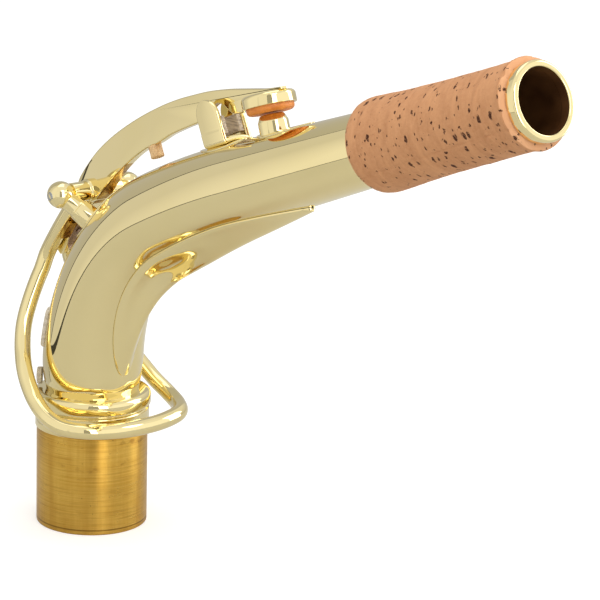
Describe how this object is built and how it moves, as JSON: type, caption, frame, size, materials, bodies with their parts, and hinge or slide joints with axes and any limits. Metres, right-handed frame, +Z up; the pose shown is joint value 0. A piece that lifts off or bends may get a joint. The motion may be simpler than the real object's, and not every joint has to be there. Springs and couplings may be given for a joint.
{
  "type": "saxophone neck",
  "caption": "Curved tapered brass saxophone neck with tenon, mouthpiece cork, stiffening brace and a sprung octave key on a post hinge.",
  "frame": {"origin": "Centre of the tenon's lower end, on the tenon's axis.", "axes": "+Z up the tenon's axis into the neck, +X towards the mouthpiece end, Y across the neck. The neck is bent in the plane Y = 0 and the octave key's hinge runs along Y."},
  "size_m": [0.1507, 0.0366, 0.1226],
  "materials": {
    "lacquered_brass": "polished under clear pale lacquer",
    "raw_brass": "bare turned brass, lightly tarnished",
    "steel": "plain turned and rolled steel",
    "cork": "sanded natural cork",
    "pad_leather": "tan leather pad"
  },
  "bodies": {
    "neck": {"neck_tube": "lacquered_brass", "tenon": "raw_brass", "tenon_collar": "lacquered_brass", "underslung_brace": "lacquered_brass", "mouthpiece_cork": "cork", "tip_ring": "lacquered_brass", "octave_pip": "lacquered_brass", "pip_saddle": "lacquered_brass", "guide_saddle": "lacquered_brass", "guide_fork": "lacquered_brass", "guide_liner_near": "cork", "guide_liner_far": "cork", "post_saddle": "lacquered_brass", "near_post": "lacquered_brass", "far_post": "lacquered_brass", "hinge_rod": "steel", "stop_pad_near": "cork", "stop_pad_far": "cork", "side_rest": "cork"},
    "octave_key": {"hinge_tube": "lacquered_brass", "key_arm": "lacquered_brass", "pad_cup": "lacquered_brass", "key_pad": "pad_leather", "arm_bumper": "cork", "octave_loop": "lacquered_brass", "spring_plate": "lacquered_brass", "flat_spring": "steel", "spring_screw": "steel"}
  },
  "joints": [
    {"name": "octave_hinge", "type": "hinge", "parent": "neck", "child": "octave_key", "pos_m": [0.0001, 0, 0.0748], "axis": [0, -1, 0], "range_deg": [0, 3.5], "stiffness_Nm_per_rad": 0.05, "springref_deg": -22.92, "deforming": ["flat_spring"]}
  ]
}
